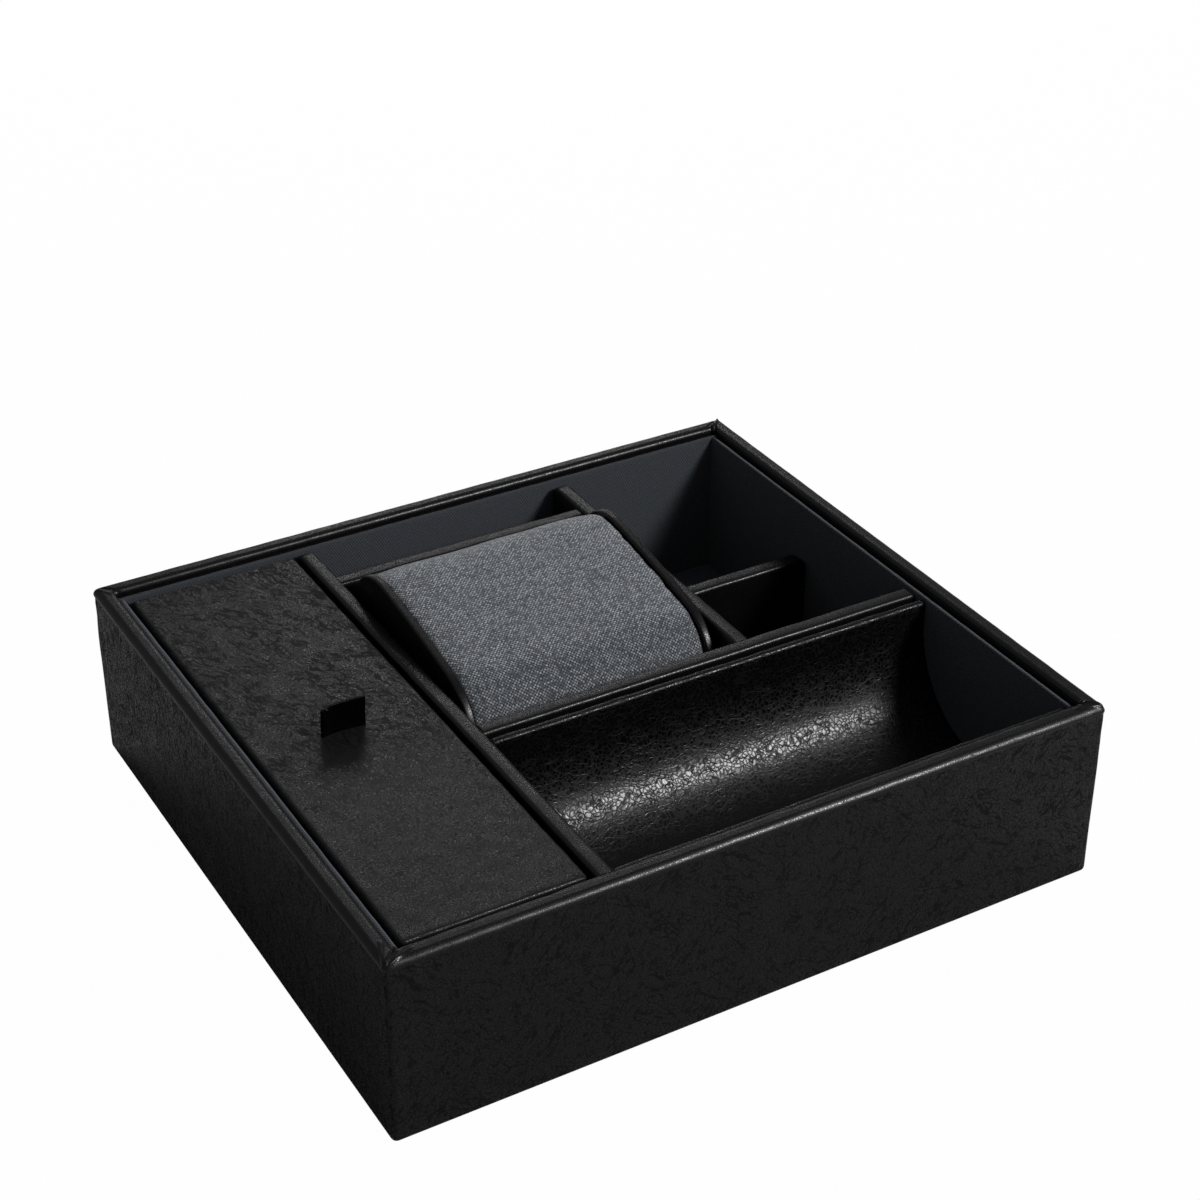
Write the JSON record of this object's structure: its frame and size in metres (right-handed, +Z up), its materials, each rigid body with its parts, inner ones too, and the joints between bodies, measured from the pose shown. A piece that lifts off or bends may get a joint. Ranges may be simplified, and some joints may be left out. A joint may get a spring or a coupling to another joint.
{
  "type": "phone valet",
  "caption": "Low leather-covered desk tray with a lidded long bay, a phone slot, a lift-out watch pillow, a rounded trough and small lined bays.",
  "frame": {"origin": "middle of the underside, on the face that the tray stands on", "axes": "+X to the right along the front, +Y from the front to the rear where the phone stands, +Z up"},
  "size_m": [0.1874, 0.1694, 0.0554],
  "materials": {
    "leather": "black, fine creased grain, soft sheen",
    "twill": "dark blue-grey fine twill, matt",
    "board": "raw fibreboard",
    "card": "grey bookbinding card",
    "felt": "black felt",
    "foam": "firm upholstery wadding"
  },
  "bodies": {
    "case": {"outer_cover": "leather", "left_divider_cover": "leather", "centre_divider_cover": "leather", "cross_divider_cover": "leather", "slot_divider_cover": "leather", "partition_cover": "leather", "trough_cover": "leather", "front_liner": "twill", "rear_liner": "twill", "left_liner": "twill", "right_liner": "twill", "lid_bay_floor": "twill", "watch_bay_floor": "twill", "rear_bay_floor": "twill", "front_bay_floor": "twill", "phone_pad": "twill", "base_board": "board", "front_wall_board": "board", "rear_wall_board": "board", "left_wall_board": "board", "right_wall_board": "board", "left_divider_board": "board", "centre_divider_board": "board", "cross_divider_board": "board", "slot_divider_board": "board", "partition_board": "board", "left_cradle": "board", "right_cradle": "board", "front_lid_rest": "board", "rear_lid_rest": "board", "phone_step": "card", "trough_card": "card", "base_felt": "felt"},
    "lid": {"lid_board": "board", "lid_cover": "leather", "lid_lining": "twill", "tab_root": "leather"},
    "pull_tab": {"pull_tab": "leather"},
    "pillow": {"pillow_core": "foam", "pillow_cover": "twill", "pillow_left_side": "leather", "pillow_right_side": "leather"}
  },
  "joints": [
    {"name": "lid_lift", "type": "slide", "parent": "case", "child": "lid", "axis": [0, 0, 1], "range_m": [0, 0.06]},
    {"name": "tab_bend", "type": "hinge", "parent": "lid", "child": "pull_tab", "pos_m": [-0.064, -0.0015, 0.04772], "axis": [1, 0, 0], "range_deg": [-60, 60], "stiffness_Nm_per_rad": 0.005},
    {"name": "pillow_lift", "type": "slide", "parent": "case", "child": "pillow", "axis": [0, 0, 1], "range_m": [0, 0.07]}
  ]
}
